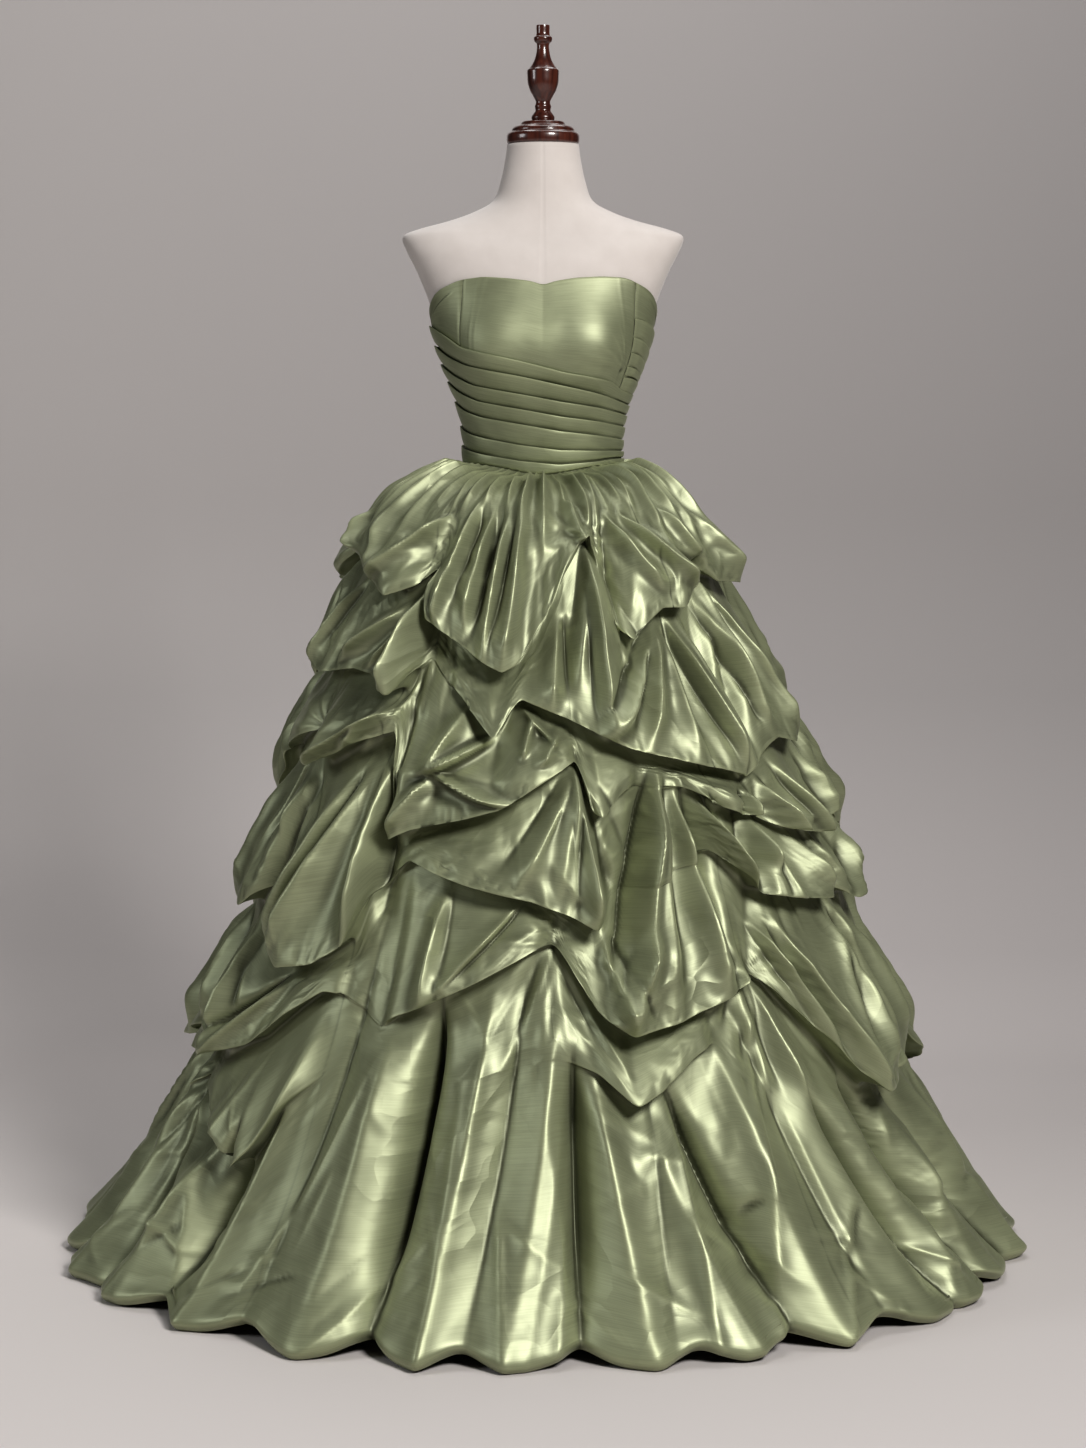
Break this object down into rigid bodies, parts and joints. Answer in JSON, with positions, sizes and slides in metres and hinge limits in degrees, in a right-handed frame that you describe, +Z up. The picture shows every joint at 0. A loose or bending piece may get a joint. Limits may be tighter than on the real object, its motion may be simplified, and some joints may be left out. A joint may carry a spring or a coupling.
{
  "type": "ball gown on dress form",
  "caption": "Strapless ball gown with a pleated bodice and a floor-length picked-up skirt, standing on a limbless dress form.",
  "frame": {"origin": "on the floor under the pole, at the centre of the stand's foot", "axes": "+Z up the pole; the gown's front faces -Y; +X to the right as seen from the front"},
  "size_m": [1.3524, 1.3609, 1.716],
  "materials": {
    "taffeta": "crisp olive-sage taffeta with a satin sheen",
    "zip_tape": "matte woven tape with a fine chain",
    "zip_metal": "olive-lacquered metal",
    "linen": "off-white linen stretched on a hard form",
    "dark_wood": "turned wood, dark red-brown gloss stain"
  },
  "bodies": {
    "gown_and_form": {"bodice_center_front": "taffeta", "bodice_side_front_left": "taffeta", "bodice_side_front_right": "taffeta", "midriff_drape": "taffeta", "bodice_back_left": "taffeta", "bodice_back_right": "taffeta", "skirt_front": "taffeta", "skirt_side_right": "taffeta", "skirt_side_left": "taffeta", "skirt_back_right": "taffeta", "skirt_back_left": "taffeta", "zip_tape": "zip_tape", "zip_slider": "zip_metal", "form_torso": "linen", "form_neck_cap": "dark_wood", "form_finial": "dark_wood", "form_collar": "dark_wood", "form_pole": "dark_wood", "stand_foot": "dark_wood"},
    "zip_pull": {"zip_pull_tab": "zip_metal"}
  },
  "joints": [
    {"name": "zip_pull_hinge", "type": "hinge", "parent": "gown_and_form", "child": "zip_pull", "pos_m": [0, 0.09787, 1.25173], "axis": [1, 0, 0], "range_deg": [0, 140]}
  ]
}
